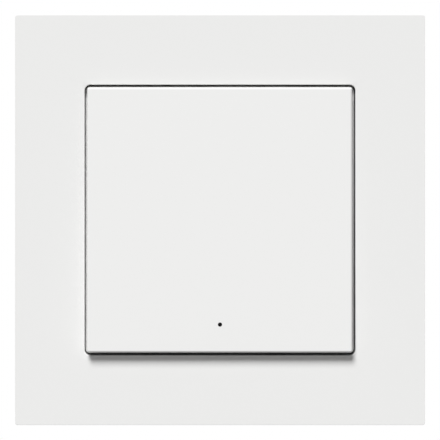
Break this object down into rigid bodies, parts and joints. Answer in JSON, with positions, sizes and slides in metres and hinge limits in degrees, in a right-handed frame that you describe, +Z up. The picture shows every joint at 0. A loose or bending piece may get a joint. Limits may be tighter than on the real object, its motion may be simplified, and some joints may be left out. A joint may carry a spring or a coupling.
{
  "type": "wireless remote wall switch",
  "caption": "Square surface-mounted wall remote: a white frame round one large tilting rocker, over a battery housing on a thin wall plate.",
  "frame": {"origin": "on the wall face, behind the middle of the switch, at the centre of its screw pattern", "axes": "+X right and +Z up as seen from the room, +Y into the wall; the rocker faces -Y"},
  "size_m": [0.086, 0.0174, 0.086],
  "materials": {
    "white_cover": "satin moulded",
    "dark_housing": "fine moulded texture",
    "plate_plastic": "fine moulded texture",
    "adhesive_foam": "matt foam",
    "board_green": "solder mask",
    "chip_black": "moulded epoxy",
    "tinned_steel": "drawn and tinned",
    "can_aluminium": "drawn",
    "bright_wire": "tinned wire",
    "switch_black": "moulded",
    "plunger_white": "moulded",
    "spring_steel": "drawn wire",
    "contact_nickel": "nickel plated",
    "cell_sleeve": "printed shrink sleeve",
    "screw_zinc": "zinc plated",
    "led_white": "moulded",
    "clear_pipe": "clear moulded",
    "button_grey": "moulded"
  },
  "bodies": {
    "wall_unit": {"mounting_plate": "plate_plastic", "adhesive_pads": "adhesive_foam", "cover_frame": "white_cover", "unit_housing": "dark_housing", "rear_cover": "dark_housing", "cover_screws": "screw_zinc", "circuit_board": "board_green", "radio_shield": "tinned_steel", "microcontroller": "chip_black", "buffer_capacitor": "can_aluminium", "crystal": "tinned_steel", "antenna_wire": "bright_wire", "switch_body_top": "switch_black", "switch_body_bottom": "switch_black", "switch_spring_top": "spring_steel", "switch_spring_bottom": "spring_steel", "system_switch": "switch_black", "status_led": "led_white", "light_pipe": "clear_pipe", "battery_left": "cell_sleeve", "battery_right": "cell_sleeve", "battery_plate_left": "contact_nickel", "battery_plate_right": "contact_nickel", "battery_spring_left": "contact_nickel", "battery_spring_right": "contact_nickel"},
    "rocker": {"rocker": "white_cover"},
    "plunger_top": {"plunger_top": "plunger_white"},
    "plunger_bottom": {"plunger_bottom": "plunger_white"},
    "system_button": {"system_button": "button_grey"}
  },
  "joints": [
    {"name": "rocker_tilt", "type": "hinge", "parent": "wall_unit", "child": "rocker", "pos_m": [0, -0.0104, 0], "axis": [1, 0, 0], "range_deg": [-2, 2], "stiffness_Nm_per_rad": 0.6},
    {"name": "plunger_bottom_slide", "type": "slide", "parent": "wall_unit", "child": "plunger_bottom", "axis": [0, 1, 0], "range_m": [-0.00056, 0.00056], "deforming": ["switch_spring_bottom"]},
    {"name": "plunger_top_slide", "type": "slide", "parent": "wall_unit", "child": "plunger_top", "axis": [0, 1, 0], "range_m": [-0.00056, 0.00056], "deforming": ["switch_spring_top"]},
    {"name": "system_button_press", "type": "slide", "parent": "wall_unit", "child": "system_button", "axis": [0, 1, 0], "range_m": [0, 0.0003], "stiffness_N_per_m": 500}
  ],
  "couplings": [
    {"joint": "plunger_bottom_slide", "follows": "rocker_tilt", "m_per_rad": 0.0158},
    {"joint": "plunger_top_slide", "follows": "rocker_tilt", "m_per_rad": -0.0158}
  ]
}
